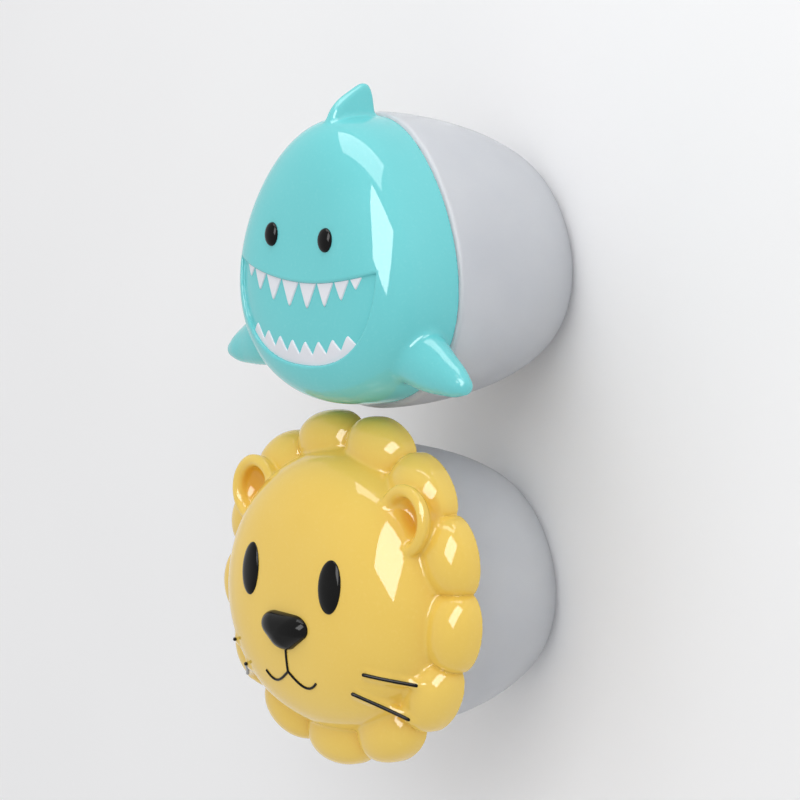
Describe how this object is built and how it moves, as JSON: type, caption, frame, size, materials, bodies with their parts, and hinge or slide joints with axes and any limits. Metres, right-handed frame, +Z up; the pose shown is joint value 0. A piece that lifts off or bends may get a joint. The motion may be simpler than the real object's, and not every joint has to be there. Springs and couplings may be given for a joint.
{
  "type": "toddler snack container",
  "caption": "Egg-shaped frosted snack bowls with domed animal lids that lift off: a toothy shark with fins, and a lion with a tufted mane, ears and whiskers.",
  "frame": {"origin": "middle of the pair's overall width and length, on the surface that the bowls stand on", "axes": "+Z up, the way the lids lift off; +Y the top of both faces, from the lion to the shark; +X across the faces"},
  "size_m": [0.1222, 0.2128, 0.0925],
  "materials": {
    "frosted_plastic": "frosted translucent",
    "teal_plastic": "glossy moulded",
    "yellow_plastic": "glossy moulded",
    "clear_plastic": "smooth natural",
    "silicone": "soft silicone",
    "black_plastic": "glossy",
    "white_plastic": "satin"
  },
  "bodies": {
    "shark_container": {"shark_bowl": "frosted_plastic"},
    "shark_cover": {"shark_lid": "teal_plastic", "shark_lid_liner": "clear_plastic", "shark_seal": "silicone", "shark_left_eye": "black_plastic", "shark_right_eye": "black_plastic", "shark_upper_teeth": "white_plastic", "shark_lower_teeth": "white_plastic"},
    "lion_container": {"lion_bowl": "frosted_plastic"},
    "lion_cover": {"lion_lid": "yellow_plastic", "lion_lid_liner": "clear_plastic", "lion_seal": "silicone", "lion_left_eye": "black_plastic", "lion_right_eye": "black_plastic", "lion_nose": "black_plastic", "lion_mouth": "black_plastic", "lion_left_whiskers": "black_plastic", "lion_right_whiskers": "black_plastic"}
  },
  "joints": [
    {"name": "shark_lid_lift", "type": "slide", "parent": "shark_container", "child": "shark_cover", "axis": [0, 0, 1], "range_m": [0, 0.08]},
    {"name": "lion_pick_up", "type": "slide", "parent": "shark_container", "child": "lion_container", "axis": [0, 0, 1], "range_m": [0, 0.06]},
    {"name": "lion_lid_lift", "type": "slide", "parent": "lion_container", "child": "lion_cover", "axis": [0, 0, 1], "range_m": [0, 0.08]}
  ]
}
